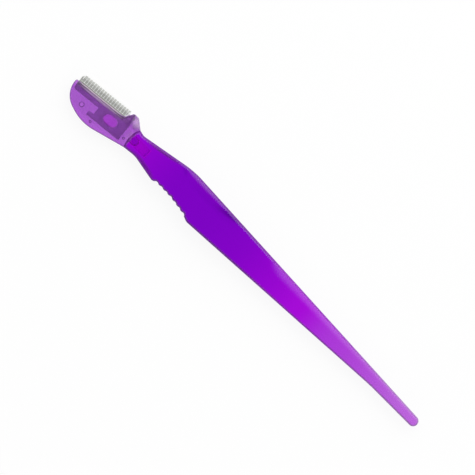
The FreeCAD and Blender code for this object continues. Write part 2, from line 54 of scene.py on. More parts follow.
class Shade:
    # one socket of a shader; sums and products of such values add Math nodes
    def __init__(self, tree, socket=None):
        self.tree = tree
        self.socket = socket

    # any node by its type: settings are set first, then each input gets a value or a link
    def add(self, kind, settings=None, inputs=None, out=0):
        made = self.tree.nodes.new(kind)
        for key, setting in (settings or {}).items():
            setattr(made, key, setting)
        for key, given in (inputs or {}).items():
            if isinstance(given, Shade):
                self.tree.links.new(given.socket, made.inputs[key])
            else:
                made.inputs[key].default_value = given
        return Shade(self.tree, made.outputs[out]) if len(made.outputs) else None

    def work(self, operation, *terms):
        return self.add("ShaderNodeMath", {"operation": operation}, dict(enumerate(terms)))

    def __add__(self, other):
        return self.work("ADD", self, other)

    __radd__ = __add__

    def __mul__(self, other):
        return self.work("MULTIPLY", self, other)

    __rmul__ = __mul__

    def __rsub__(self, other):
        return self.work("SUBTRACT", other, self)

    # 0 below the first value, 1 above the second, smooth between
    def rise(self, first, second):
        limits = {"Value": self, "From Min": first, "From Max": second}
        return self.add("ShaderNodeMapRange", {"interpolation_type": "SMOOTHSTEP"}, limits)

    # one colour where this value is 0, the other where it is 1
    def blend(self, low, high):
        return self.add("ShaderNodeMix", {"data_type": "RGBA"}, {0: self, 6: low, 7: high}, out=2)


def newMaterial(name):
    material = bpy.data.materials.new(name)
    material.use_nodes = True
    material.node_tree.nodes.clear()
    return material, Shade(material.node_tree)


def unit(vectors):
    return vectors / np.linalg.norm(vectors, axis=-1, keepdims=True)


# Straight runs between corners (x, y) or (x, y, radius): each radius puts in the arc that touches both
# runs, whose centre lies on the corner's bisector at radius / sin(half the corner's angle).
def roundedPath(corners, steps=arcSteps["plan"]):
    points = np.array([corner[:2] for corner in corners], float)
    radius = np.array([corner[2] if len(corner) > 2 else 0.0 for corner in corners])[1:-1]
    corner = points[1:-1]
    back, ahead = unit(points[:-2] - corner), unit(points[2:] - corner)
    half = np.arccos(np.clip((back * ahead).sum(1), -1, 1)) / 2
    centre = corner + unit(back + ahead) * (radius / np.sin(half))[:, None]
    reach = (radius / np.tan(half))[:, None]
    first, last = corner + back * reach - centre, corner + ahead * reach - centre
    start = np.arctan2(first[:, 1], first[:, 0])
    sweep = (np.arctan2(last[:, 1], last[:, 0]) - start + np.pi) % (2 * np.pi) - np.pi
    turn = start[:, None] + sweep[:, None] * np.linspace(0, 1, steps)
    arcs = centre[:, None] + radius[:, None, None] * np.stack([np.cos(turn), np.sin(turn)], 2)
    return np.concatenate([points[:1], arcs.reshape(-1, 2), points[-1:]])


# The same for a closed outline, by starting and ending half way along its last run.
def roundedLoop(corners, steps=arcSteps["plan"]):
    middle = tuple((np.array(corners[0][:2]) + np.array(corners[-1][:2])) / 2)
    return roundedPath([middle, *corners, middle], steps)[:-1]


# The path's points at given shares of its length.
def alongPath(path, shares):
    length = np.concatenate([[0], np.cumsum(np.hypot(*np.diff(path, axis=0).T))])
    return np.stack([np.interp(shares * length[-1], length, path[:, axis]) for axis in (0, 1)], 1)


# Unit normals to the right of a path, which is outside for an anticlockwise one.
def outward(path):
    run = unit(np.gradient(path, axis=0))
    return np.stack([run[:, 1], -run[:, 0]], 1)


# 0 before the first value, 1 after the last, smooth between.
def ease(values, first, last):
    share = np.clip((values - first) / (last - first), 0, 1)
    return share ** 2 * (3 - 2 * share)


# The larger (or smaller) of two values, with the crossing rounded over about the given length.
def softMax(one, other, length):
    return (one + other + np.sqrt((one - other) ** 2 + length ** 2)) / 2


def softMin(one, other, length):
    return (one + other - np.sqrt((one - other) ** 2 + length ** 2)) / 2


# Shell between two outline chains, station by station. Each station's loop crosses the underside from
# the near chain to the far one, climbs the far side, comes back over the top and goes down the near
# side. An edge of radius r steps out r sin(a) along the outline's normal while it leaves the flat by
# r (1 - cos(a)), where r may change along the piece. A ridge of the given height stands round the sides
# on the parting plane.
def slabShell(near, far, nearNormal, farNormal, underside, top, rounds, shares, turns=6, ridge=None):
    lowRound, highRound = [np.broadcast_to(radius, len(near))[:, None] for radius in rounds]
    angle = np.linspace(0, np.pi / 2, turns + 1)[1:]

    def flat(first, last, portion, height):
        plan = first[:, None] + (last - first)[:, None] * portion[..., None]
        return np.concatenate([plan, height(plan[..., 0], plan[..., 1])[..., None]], 2)

    def rounding(inner, normal, height, radius, climb):
        plan = inner[:, None] + normal[:, None] * (radius * np.sin(angle))[..., None]
        level = height(inner[:, 0], inner[:, 1])[:, None] + climb * radius * (1 - np.cos(angle))
        return np.concatenate([plan, level[..., None]], 2)

    def parting(outline, normal):
        if ridge is None:
            return []
        plan = outline[:, None] + normal[:, None] * np.array([0, ridge["height"], 0])[None, :, None]
        level = np.broadcast_to(ridge["level"] + np.array([-1, 0, 1]) * ridge["half"], plan.shape[:2])
        return [np.concatenate([plan, level[..., None]], 2)]

    nearLow, farLow = near - nearNormal * lowRound, far - farNormal * lowRound
    nearHigh, farHigh = near - nearNormal * highRound, far - farNormal * highRound
    shares = np.broadcast_to(shares, (len(near), np.shape(shares)[-1]))
    farSide = [rounding(farLow, farNormal, underside, lowRound, 1), *parting(far, farNormal),
               rounding(farHigh, farNormal, top, highRound, -1)[:, ::-1]]
    nearSide = [rounding(nearHigh, nearNormal, top, highRound, -1),
                *[band[:, ::-1] for band in parting(near, nearNormal)],
                rounding(nearLow, nearNormal, underside, lowRound, 1)[:, ::-1]]
    bottomFlat = flat(nearLow, farLow, 1 - shares[:, ::-1], underside)
    topFlat = flat(farHigh, nearHigh, shares, top)
    grid = np.concatenate([bottomFlat, *farSide, topFlat, *nearSide], 1)
    return grid, shares.shape[1], sum(band.shape[1] for band in farSide)


# Quads of a grid whose loops close, with one open end filled: rungs between the underside's and the
# top's columns, and a side panel at each end of the ladder.
def shellFaces(grid, columns, sideCount, openEnd):
    stations, around = grid.shape[:2]
    index = np.arange(stations * around).reshape(stations, around)
    ahead = np.roll(index, -1, axis=1)
    quads = np.stack([index[:-1], ahead[:-1], ahead[1:], index[1:]], 2).reshape(-1, 4)
    ring = index[openEnd]
    low, high = ring[:columns], ring[columns + sideCount:2 * columns + sideCount][::-1]
    rungs = np.stack([low[:-1], high[:-1], high[1:], low[1:]], 1)
    farPanel = ring[columns - 1:columns + sideCount + 1]
    nearPanel = np.append(ring[2 * columns + sideCount - 1:], ring[0])
    return quads.tolist() + rungs.tolist() + [farPanel.tolist(), nearPanel.tolist()]


# Closed outlines of equal count at rising levels, joined by walls, with flat ends.
def stack(outlines, levels):
    layers, count = len(outlines), len(outlines[0])
    index = np.arange(layers * count).reshape(layers, count)
    ahead = np.roll(index, -1, axis=1)
    points = np.concatenate([np.c_[outline, np.full(count, level)]
                             for outline, level in zip(outlines, levels)])
    walls = np.stack([index[:-1], ahead[:-1], ahead[1:], index[1:]], 2).reshape(-1, 4)
    return points, [index[0, ::-1].tolist(), index[-1].tolist()] + walls.tolist()


def prism(outline, low, high):
    return stack([outline, outline], [low, high])


def joinShells(shells):
    starts = np.cumsum([0] + [len(points) for points, _ in shells])
    faces = [[corner + start for corner in face]
             for start, (_, shellFace) in zip(starts, shells) for face in shellFace]
    return np.concatenate([points for points, _ in shells]), faces


def makeObject(name, points, faces):
    mesh = bpy.data.meshes.new(name)
    mesh.from_pydata((points.reshape(-1, 3) * mm).tolist(), [], faces)
    tidy = bmesh.new()
    tidy.from_mesh(mesh)
    bmesh.ops.remove_doubles(tidy, verts=tidy.verts, dist=weld["merge"])
    bmesh.ops.dissolve_degenerate(tidy, dist=weld["sliver"], edges=tidy.edges)
    bmesh.ops.recalc_face_normals(tidy, faces=tidy.faces)
    tidy.to_mesh(mesh)
    tidy.free()
    made = bpy.data.objects.new(name, mesh)
    scene.collection.objects.link(made)
    return made


# Cuts a piece by a tool, joins the tool to it or keeps what they share; the tool is used up.
def carve(piece, tool, operation="DIFFERENCE"):
    cut = piece.modifiers.new("cut", "BOOLEAN")
    cut.object, cut.operation, cut.solver = tool, operation, "EXACT"
    whole = piece.evaluated_get(bpy.context.evaluated_depsgraph_get())
    result = bpy.data.meshes.new_from_object(whole)
    piece.modifiers.clear()
    spent = (piece.data, tool.data)
    piece.data = result
    bpy.data.objects.remove(tool)
    for mesh in spent:
        bpy.data.meshes.remove(mesh)
    return piece


# Gives a piece its material, smooth shading, and an attribute that rises from 0 on level faces to 1 on
# steep ones, between the two upright shares of the normal in steep.
def dress(piece, material, node, body, steep=(0.985, 0.8), crease=30):
    mesh = piece.data
    mesh.name = piece.name
    mesh.materials.clear()
    mesh.materials.append(material)
    mesh.polygons.foreach_set("use_smooth", np.ones(len(mesh.polygons), bool))
    mesh.set_sharp_from_angle(angle=math.radians(crease))
    normals = np.empty(3 * len(mesh.loops), np.float32)
    mesh.corner_normals.foreach_get("vector", normals)
    sides = mesh.attributes.new("sides", "FLOAT", "CORNER")
    sides.data.foreach_set("value", ease(np.abs(normals[2::3]), *steep).astype(np.float32))
    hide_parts(node)
    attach(piece, body)
    print(piece.name, "made,", len(mesh.polygons), "faces")


# 1 well inside an ellipsoid, fading to 0 at its surface
def zone(tone, place, spot):
    inside = tone.add("ShaderNodeMapping", {"vector_type": "TEXTURE"}, {
        "Vector": place, "Location": [length * mm for length in spot["centre"]],
        "Rotation": (0, 0, spot.get("turn", 0)), "Scale": [length * mm for length in spot["reach"]]})
    away = tone.add("ShaderNodeVectorMath", {"operation": "LENGTH"}, {0: inside}, out="Value")
    return away.rise(1, 1 - spot["soft"])


# Plastic: clear with its tint in depth, so thin stretches are pale and thick ones deep. Its steep sides
# are frosted as moulded edges are, in colours that paint the shade of the outlines; tints deepen the
# colour in places, some of them painted shade; and in other places a frosted layer paints sheen where
# it is pale and shade where it is dark.
# Roughness rises in fine scratches along the piece and in soft cloudy patches, and a faint flow pattern is
# in the bump.
plasticNoise = {"cloudDetail": 2, "scratchDetail": 3, "flowDetail": 2, "scratch": (0.62, 0.72),
                "scratchDepth": 0.15, "flow": (0.3, 0.7), "paintedSheenLeast": 0.7, "paintedSheenCloud": 0.6,
                "edge": (0, 0.3)}


def tintedPlastic(name, look):
    material, tone = newMaterial(name)
    place = tone.add("ShaderNodeTexCoord", out="Object")

    def noise(scale, detail, stretch=(1, 1, 1)):
        spot = tone.add("ShaderNodeMapping", {}, {"Vector": place, "Scale": stretch})
        return tone.add("ShaderNodeTexNoise", {}, {"Vector": spot, "Scale": scale, "Detail": detail})

    cloud = noise(look["cloudScale"], plasticNoise["cloudDetail"])
    scratch = noise(look["scratchScale"], plasticNoise["scratchDetail"],
                    look["scratchStretch"]).rise(*plasticNoise["scratch"])
    flow = noise(look["flowScale"], plasticNoise["flowDetail"], look["flowStretch"])
    rough = look["rough"] + look["cloudRough"] * cloud + look["scratchRough"] * scratch
    bump = tone.add("ShaderNodeBump", {}, {
        "Height": flow + plasticNoise["scratchDepth"] * scratch, "Strength": look["bump"],
        "Distance": look["bumpDepth"] * mm})
    colour = flow.rise(*plasticNoise["flow"]).blend(look["pale"], look["clear"])
    # each multiplies the colour: some are the plastic's own deeper tint, others painted shade
    for stainAndShade in look["stainsAndShade"]:
        colour = tone.add("ShaderNodeMix", {"data_type": "RGBA", "blend_type": "MULTIPLY"},
                          {0: zone(tone, place, stainAndShade), 6: colour, 7: stainAndShade["tone"]}, out=2)
    clear = tone.add("ShaderNodeBsdfPrincipled", {}, {
        "Base Color": colour, "Roughness": rough, "Normal": bump, "IOR": look["ior"],
        "Transmission Weight": 1.0})

    # the frosted layer's colours on steep sides paint the shade of the outlines, with paler zones painting
    # highlight
    frostAndEdgeShade = look["frostAndEdgeShade"]
    sides = tone.add("ShaderNodeAttribute", {"attribute_name": "sides"}, out="Fac")
    edge, sheenAndShadeTone, share = frostAndEdgeShade["plain"], frostAndEdgeShade["plain"], frostAndEdgeShade["share"] * sides
    for spot in frostAndEdgeShade["zones"]:
        edge = zone(tone, place, spot).blend(edge, spot["tone"])
    # pale zones paint sheen and dark zones paint shade, as a frosted layer on level faces
    for spot in look["paintedSheenAndShade"]:
        sheenAndShadeMask = zone(tone, place, spot)
        sheenAndShadeTone = sheenAndShadeMask.blend(sheenAndShadeTone, spot["tone"])
        patchy = plasticNoise["paintedSheenLeast"] + plasticNoise["paintedSheenCloud"] * cloud
        share = tone.work("MAXIMUM", share, spot["share"] * sheenAndShadeMask * patchy)
    frostSheenAndShade = tone.add("ShaderNodeBsdfPrincipled", {}, {
        "Base Color": sides.rise(*plasticNoise["edge"]).blend(sheenAndShadeTone, edge), "Roughness": frostAndEdgeShade["rough"],
        "Normal": bump, "Specular IOR Level": frostAndEdgeShade["shine"]})
    surface = tone.add("ShaderNodeMixShader", {}, {0: share, 1: clear, 2: frostSheenAndShade})
    depth = tone.add("ShaderNodeVolumeAbsorption", {}, {"Color": look["tint"], "Density": look["density"]})
    tone.add("ShaderNodeOutputMaterial", {}, {"Surface": surface, "Volume": depth})
    return material


# Steel: fine grinding lines across one direction in colour, roughness and bump, with cloudy wear.
steelNoise = {"lineDetail": 4.0, "wearDetail": 3.0, "line": (0.3, 0.7), "lineShare": 0.7, "wearShare": 0.3}


def groundSteel(name, look):
    material, tone = newMaterial(name)
    place = tone.add("ShaderNodeTexCoord", out="Object")
    turned = tone.add("ShaderNodeMapping", {}, {"Vector": place, "Rotation": (0, 0, -look["turn"])})
    stretched = tone.add("ShaderNodeMapping", {}, {"Vector": turned, "Scale": look["stretch"]})
    lines = tone.add("ShaderNodeTexNoise", {}, {
        "Vector": stretched, "Scale": look["lineScale"], "Detail": steelNoise["lineDetail"]})
    wear = tone.add("ShaderNodeTexNoise", {}, {
        "Vector": place, "Scale": look["wearScale"], "Detail": steelNoise["wearDetail"]})
    grain = lines.rise(*steelNoise["line"])
    mixed = steelNoise["lineShare"] * grain + steelNoise["wearShare"] * wear
    colour = mixed.blend(look["dark"], look["bright"])
    for spot in look["spots"]:
        colour = zone(tone, place, spot).blend(colour, spot["tone"])
    rough = look["rough"] + look["lineRough"] * grain + look["wearRough"] * wear
    bump = tone.add("ShaderNodeBump", {}, {"Height": lines, "Strength": look["bump"],
                                           "Distance": look["bumpDepth"] * mm})
    surface = tone.add("ShaderNodeBsdfPrincipled", {}, {
        "Base Color": colour, "Roughness": rough, "Normal": bump, "Metallic": look["metal"]})
    tone.add("ShaderNodeOutputMaterial", {}, {"Surface": surface})
    return material


# The seam's arc, shared by the handle's end and the head's.
seam = {"centre": (-42.449, 0.14), "radius": 8.1, "gap": 0.06, "flare": 0.08, "halfChord": 3.61,
        "neck": -49.7}

handle = {
    "front": [(-51.7, 1.7), (-31.0, 2.4, 150), (-14.0, 2.4, 150), (22.0, 1.45, 150), (77.0, 0.9)],
    "back": [(-51.7, 1.7), (-31.0, 2.4, 150), (-2.0, 2.4, 150), (22.0, 1.45, 150), (77.0, 0.9)],
    "nearSide": [(-49.7, -3.47), (-45.4, -2.98, 8), (-36.6, -4.6, 1), (-34.8, -4.0, 0.8), (-28.62, -4.17, 30),
                 (-22.44, -5.1, 0.8), (-19.8, -6.16, 2.5), (56.0, -1.72, 60), (75.0, -1.72)],
    "farSide": [(-49.7, 3.75), (-47.7, 3.33, 2.5), (-29.0, 6.68, 32), (75.0, 1.5)],
    "edgeRound": ([-46, -36, -19, 0, 25, 75], [1.0, 0.8, 1.0, 1.1, 0.9, 0.8]),
    "endRound": 0.9, "endHalf": 1.7,
    # first, last and count of each stretch's stations, and the counts round the two ends
    "stations": {"neck": (-48.7, -37.1, 50), "grip": (-37.0, -19.4, 240), "taper": (-19.0, 72.8, 170)},
    "endSteps": 9, "tailSteps": 26,
    "tail": {"centre": (73.39, -0.11), "reach": 1.61},
    "ribs": {"first": -34.8, "pitch": 2.06, "count": 7, "radius": 0.99, "depth": 0.25, "soften": 0.12,
             "floor": ([-34.8, -28.62, -22.44], [4.0, 4.17, 5.1]),
             "halfRow": 9, "between": -20},      # between is below any side
    "thumb": {"axis": (-19.0, 155.05), "sweep": 150.0, "slope": math.radians(16), "level": 4.8,
              "soften": 0.22, "above": 0.3},
    "roll": {"tilt": 0.28, "from": 2.0, "full": 14.0, "leastReach": 0.05},
    "ridge": {"height": 0.02, "half": 0.07, "level": midHeight},
    "bow": 3.0,          # length over which the end's arc fades into the neck
    "columns": 40,
    "socket": {"end": -42.8, "centre": 0.2, "halfWidth": 1.65, "halfHeight": 0.75, "over": 4},
    "keyway": {"end": -47.3, "half": 1.3, "round": 1.2, "foot": 0.2, "roof": 3.55, "chamfer": 0.2},
}
handlePlastic = tintedPlastic("violet_plastic_depth", {
    "tint": (0.7615, 0.0385, 0.917, 1), "density": 1300.0, "ior": 1.49,
    "clear": (1, 1, 1, 1), "pale": (0.97, 0.95, 0.98, 1),
    "stainsAndShade": [
        {"centre": (-28, 0, 2), "reach": (65, 90, 90), "soft": 0.2, "tone": (1, 0.12, 1, 1)},
        # a dark streak of painted shade at each end of the thumb facet, and darker tints along its two sides
        {"centre": (-10.5, 4.9, 4), "reach": (9, 1.4, 4), "turn": math.radians(9), "soft": 0.9,
         "tone": (0.25, 0.2, 0.32, 1)},
        {"centre": (-18, 3.4, 4), "reach": (15, 1.8, 4), "soft": 0.9, "tone": (0.82, 0.8, 0.86, 1)},
        {"centre": (-21, 6.2, 4), "reach": (16, 2.6, 4), "soft": 0.8, "tone": (0.9, 0.75, 0.72, 1)},
        {"centre": (-31, 4.8, 4), "reach": (2.6, 1.0, 4), "turn": math.radians(-35), "soft": 0.9,
         "tone": (0.7, 0.7, 0.78, 1)}],
    "paintedSheenAndShade": [
        # painted sheen over the tail and a painted reflection on the thumb facet
        {"centre": (80, 0, 2), "reach": (58, 90, 90), "soft": 0.8, "share": 0.1, "tone": (0.75, 0.6, 0.8, 1)},
        {"centre": (-23, 6.3, 4.5), "reach": (13, 1.9, 4), "soft": 0.7, "share": 0.1,
         "tone": (0.5, 0.17, 0.42, 1)},
        # painted shade along both sides of the neck
        {"centre": (-39.6, 4.8, 3), "reach": (11, 1.6, 9), "turn": math.radians(10.1), "soft": 0.6,
         "share": 0.8, "tone": (0.14, 0.012, 0.23, 1)},
        {"centre": (-41.5, -3.75, 3), "reach": (8, 2.0, 9), "turn": math.radians(-10.4), "soft": 0.6,
         "share": 0.5, "tone": (0.14, 0.012, 0.23, 1)}],
    # frosted sides in painted colours: dark violet for the shade of the outlines, paler toward the tail,
    # darker on the grip, and pale lilac round the keyway as painted highlight
    "frostAndEdgeShade": {"share": 0.85, "rough": 0.45, "shine": 0.08, "plain": (0.22, 0.025, 0.36, 1), "zones": [
        {"centre": (80, 0, 2), "reach": (50, 90, 90), "soft": 0.8, "tone": (0.31, 0.16, 0.4, 1)},
        {"centre": (-25, 0, 2), "reach": (42, 90, 90), "soft": 0.5, "tone": (0.14, 0.02, 0.24, 1)},
        {"centre": (-48.6, 0.2, 3.3), "reach": (2.6, 2.2, 0.7), "soft": 0.3, "tone": (0.85, 0.5, 0.95, 1)}]},
    "rough": 0.03, "cloudScale": 90.0, "cloudRough": 0.05,
    "scratchScale": 60.0, "scratchStretch": (2, 45, 45), "scratchRough": 0.1,
    "flowScale": 120.0, "flowStretch": (0.35, 1, 1), "bump": 0.03, "bumpDepth": 0.02})


# Handle: front and back stand off the middle by their side views' heights at x, its plan is the two sides,
# and the tail is half an ellipse about its centre. The ribs' side is the larger of the plan and the row of
# circles. The front rolls off to the far side as the square of the share of the half width, and the thumb
# facet is the smaller of the front and a cone about a far axis.
def makeHandle(look):
    frontPath, backPath = roundedPath(look["front"]), roundedPath(look["back"])
    nearPath, farPath = roundedPath(look["nearSide"]), roundedPath(look["farSide"])
    tailX, tailY = look["tail"]["centre"]
    endTurn = np.linspace(0, np.pi / 2, look["endSteps"])
    stretches = [np.linspace(*stretch) for stretch in look["stations"].values()]
    stations = np.concatenate([seam["neck"] + look["endRound"] * (1 - np.cos(endTurn)), *stretches, [tailX]])
    turn = np.linspace(np.pi / 2, 0, look["tailSteps"])[1:]

    def chain(path):
        side = np.interp(stations, path[:, 0], path[:, 1])
        straight = np.stack([stations, side], 1)
        end = np.stack([tailX + look["tail"]["reach"] * np.cos(turn),
                        tailY + (side[-1] - tailY) * np.sin(turn)], 1)
        return np.concatenate([straight, end])

    near, far = chain(nearPath), chain(farPath)
    count = len(near)
    normals = outward(np.concatenate([near, far[::-1][1:]]))
    nearNormal, farNormal = normals[:count], normals[count - 1:][::-1]

    ribs = look["ribs"]
    middles = ribs["first"] + ribs["pitch"] * np.arange(ribs["count"])
    levels = ribs["depth"] - ribs["radius"] - np.interp(middles, *ribs["floor"])
    apart = near[:, :1] - middles
    rise = np.sqrt(np.clip(ribs["radius"] ** 2 - apart ** 2, 0, None))
    circles = np.where(np.abs(apart) < ribs["radius"], levels + rise, ribs["between"]).max(1)
    inRow = np.abs(near[:, 0] - middles.mean()) < ribs["halfRow"]
    near[:, 1] = np.where(inRow, softMax(near[:, 1], circles, ribs["soften"]), near[:, 1])

    def underside(x, y):
        return midHeight - np.interp(x, backPath[:, 0], backPath[:, 1])

    def top(x, y):
        roll = look["roll"]
        farY, nearY = np.interp(x, far[:, 0], far[:, 1]), np.interp(x, near[:, 0], near[:, 1])
        reach = np.maximum((farY - nearY) / 2, roll["leastReach"])
        share = np.clip(1 - (farY - y) / reach, 0, 1)
        drop = roll["tilt"] / 2 * reach * share ** 2 * ease(x, roll["from"], roll["full"])
        return midHeight + np.interp(x, frontPath[:, 0], frontPath[:, 1]) - drop

    edgeRound = np.interp(near[:, 0], *look["edgeRound"])
    shares = (1 - np.cos(np.linspace(0, np.pi, look["columns"]))) / 2
    grid, columns, sideCount = slabShell(near, far, nearNormal, farNormal, underside, top,
                                         (edgeRound, edgeRound), shares, ridge=look["ridge"])

    thumb = look["thumb"]
    away = np.hypot(grid[..., 0] - thumb["axis"][0], grid[..., 1] - thumb["axis"][1])
    slope = thumb["level"] - (thumb["sweep"] - away) * math.tan(thumb["slope"])
    upper = grid[..., 2] > midHeight + thumb["above"]
    grid[..., 2] = np.where(upper, softMin(grid[..., 2], slope, thumb["soften"]), grid[..., 2])

    # the end is rounded off in height, then bows out to the seam's arc
    towardsEnd = np.clip(1 - (grid[..., 0] - seam["neck"]) / look["endRound"], 0, 1)
    shrink = look["endRound"] * (1 - np.sqrt(1 - towardsEnd ** 2))
    grid[..., 2] = midHeight + (grid[..., 2] - midHeight) * (1 - shrink / look["endHalf"])
    offset = np.clip(grid[..., 1] - seam["centre"][1], -seam["halfChord"], seam["halfChord"])
    chordDepth = math.sqrt(seam["radius"] ** 2 - seam["halfChord"] ** 2)
    sag = np.sqrt(seam["radius"] ** 2 - offset ** 2) - chordDepth
    grid[..., 0] -= sag * (1 - ease(grid[..., 0], seam["neck"], seam["neck"] + look["bow"]))
    piece = makeObject("handle_moulding", grid, shellFaces(grid, columns, sideCount, 0))

    socket, keyway = look["socket"], look["keyway"]
    start = seam["neck"] - socket["over"]
    low, high = socket["centre"] - socket["halfWidth"], socket["centre"] + socket["halfWidth"]
    pocket = np.array([(start, low), (socket["end"], low), (socket["end"], high), (start, high)])
    carve(piece, makeObject("socket_tool", *prism(pocket, midHeight - socket["halfHeight"],
                                                  midHeight + socket["halfHeight"])))

    def groove(inset):
        low, high = socket["centre"] - keyway["half"] + inset, socket["centre"] + keyway["half"] - inset
        end, bend = keyway["end"] - inset, keyway["round"] - inset
        loop = roundedLoop([(start, low), (end, low, bend), (end, high, bend), (start, high)])
        return loop[np.append(True, np.hypot(*np.diff(loop, axis=0).T) > samePoint)]

    plain, inset = groove(0), groove(keyway["chamfer"])
    carve(piece, makeObject("keyway_tool", *stack(
        [plain, plain, inset],
        [midHeight + keyway["foot"], keyway["roof"] - keyway["chamfer"], keyway["roof"]])))
    return piece


handlePiece = makeHandle(handle)
dress(handlePiece, handlePlastic, "handle", "handle", steep=(0.993, 0.84))

# The blade's own axes: u along the cutting edge's foot from the head's tip, v out to the edge.
edgeAxes = {"start": (-75.0, 1.17), "tilt": math.radians(6.14)}


def fromEdge(points):
    u, v = np.asarray(points, float).T
    cosTilt, sinTilt = math.cos(edgeAxes["tilt"]), math.sin(edgeAxes["tilt"])
    return np.stack([edgeAxes["start"][0] + u * cosTilt - v * sinTilt,
                     edgeAxes["start"][1] + u * sinTilt + v * cosTilt], 1)


def toEdge(x, y):
    dx, dy = x - edgeAxes["start"][0], y - edgeAxes["start"][1]
    cosTilt, sinTilt = math.cos(edgeAxes["tilt"]), math.sin(edgeAxes["tilt"])
    return dx * cosTilt + dy * sinTilt, dy * cosTilt - dx * sinTilt


# A section (v, height above the middle) carried along the cutting edge between two places.
def edgeSweep(section, first, last):
    points, faces = prism(section, first, last)
    plan = fromEdge(points[:, [2, 0]])
    return np.c_[plan, midHeight + points[:, 1]], faces


blade = {
    "start": 0.95, "end": 21.85, "edge": 2.5, "bevel": 0.9, "half": 0.1, "land": 0.015, "corner": 0.9,
    "strip": -2.8, "stripRound": 0.9, "deep": -6.7, "hookFront": 9.1, "hookTop": -5.25, "notchEnd": 10.9,
    "hole": {"centre": (16.3, -3.57), "length": 5.0, "width": 3.1, "flat": 0.2},
}
guard = {
    "start": 0.95, "end": 20.95, "leg": -1.1, "crease": 1.7, "tip": 2.72, "half": 0.24, "sheet": 0.12,
    "nose": 0.06, "fold": 0.02,
    "bends": {"bead": 0.2, "crease": 1.2, "tip": 0.05, "inner": 1.0},
    "bead": {"first": 0.1, "last": 0.62, "rise": 0.06},
    "slots": {"first": 1.6, "pitch": 0.95, "count": 20, "width": 0.22, "root": 0.35, "outer": 4.0},
}


# Corners of the edge's side of an outline, both cut off at 45 degrees and grown by a clearance.
def edgeCorners(first, last, edge, grow):
    cut, outer = edge - blade["corner"] + grow, edge + grow
    return [(last + grow, cut), (last - blade["corner"] + grow, outer),
            (first + blade["corner"] - grow, outer), (first - grow, cut)]


def bladeOutline(grow=0.0):
    strip, deep = blade["strip"] - grow, blade["deep"] - grow
    front, top, notch = blade["hookFront"] - grow, blade["hookTop"] + grow, blade["notchEnd"] - grow
    return [(blade["start"] - grow, strip, blade["stripRound"]), (notch, strip), (notch, top), (front, top),
            (front, deep), (blade["end"] + grow, deep),
            *edgeCorners(blade["start"], blade["end"], blade["edge"], grow)]


def guardOutline(grow=0.0):
    foot = guard["leg"] - grow
    return [(guard["start"] - grow, foot), (guard["end"] + grow, foot),
            *edgeCorners(guard["start"], guard["end"], guard["tip"], grow)]


def holeOutline(shrink=0.0):
    hole = blade["hole"]
    halfLength, halfWidth = hole["length"] / 2 - shrink, hole["width"] / 2 - shrink
    u, v = hole["centre"]
    bend = halfWidth - hole["flat"] / 2
    return [(u - halfLength, v - halfWidth, bend), (u + halfLength, v - halfWidth, bend),
            (u + halfLength, v + halfWidth, bend), (u - halfLength, v + halfWidth, bend)]


# Plan outlines in the blade's axes, stacked at rising levels; doubled points are dropped.
def edgeStack(name, outlines, levels):
    loops = [fromEdge(roundedLoop(corners, arcSteps["strip"])) for corners in outlines]
    kept = np.hypot(*(loops[0] - np.roll(loops[0], 1, axis=0)).T) > samePoint
    return makeObject(name, *stack([loop[kept] for loop in loops], levels))


def edgePrism(name, corners, low, high):
    return edgeStack(name, [corners, corners], [low, high])


# Turned solids about upright axes, each a centre and its rising profile of (radius, level).
def turned(name, lathes, steps=turnSteps["peg"]):
    turn = np.linspace(0, 2 * np.pi, steps, endpoint=False)
    circle = np.stack([np.cos(turn), np.sin(turn)], 1)
    return makeObject(name, *joinShells([
        stack([np.array(centre) + radius * circle for radius, _ in profile], [level for _, level in profile])
        for centre, profile in lathes]))


head = {
    "outline": [(-49.7, 3.75), (-52.7, 6.15, 0.9), (-54.65, 6.15, 0.9), (-56.308, 3.181, 1.3),
                (-75.0, 1.17, 0.6), (-74.46, -4.38, 7.2), (-64.53, -7.5, 15), (-49.7, -3.47)],
    "tipCorner": 4, "crowd": 1.4,    # stations go as this power of their share, so they crowd to the tip
    "thickness": 1.1, "edgeRound": 0.5, "matingRound": 0.04, "turns": 5,
    "lip": {"from": -1.15, "slope": math.radians(16), "soften": 0.08, "fade": (18.0, 19.5)},
    "shoulder": {"from": -1.0, "reach": 3.0, "drop": 0.45, "fade": (20.8, 22.4)},
    "gap": 0.012,        # air between the halves' faces, each side of the middle
    "fit": 0.05, "clamp": 0.01, "seatOver": 0.5, "seamOver": 1,
    # each peg's x, y, radius and cone
    "pegs": [(-68.3, -3.3, 0.8, 0.14), (-62.7, -5.2, 0.38, 0.15), (-51.8, 3.1, 0.38, 0.08),
             (-51.8, -1.6, 0.38, 0.14)],
    "foot": 2.0, "pegTop": 3.0, "pegFit": 0.03, "holeTop": 3.1, "bossFit": 0.15, "bossChamfer": 0.08,
    "tang": {"side": [(-51.7, 1.7), (-43.1, 1.7, 0.06), (-43.1, 3.1, 0.06), (-49.7, 3.1), (-49.7, 2.38),
                      (-51.7, 2.38)],
             "centre": 0.2, "halfWidth": 1.5,
             "relief": {"first": -49.4, "last": -43.5, "half": 1.3, "low": 2.08, "high": 2.72, "over": 1}},
    "stud": {"centre": (-48.6, 0.2), "profile": [(1.0, 2.5), (1.0, 3.45), (0.95, 3.5)]},
    "columns": 40, "stations": 240,
}
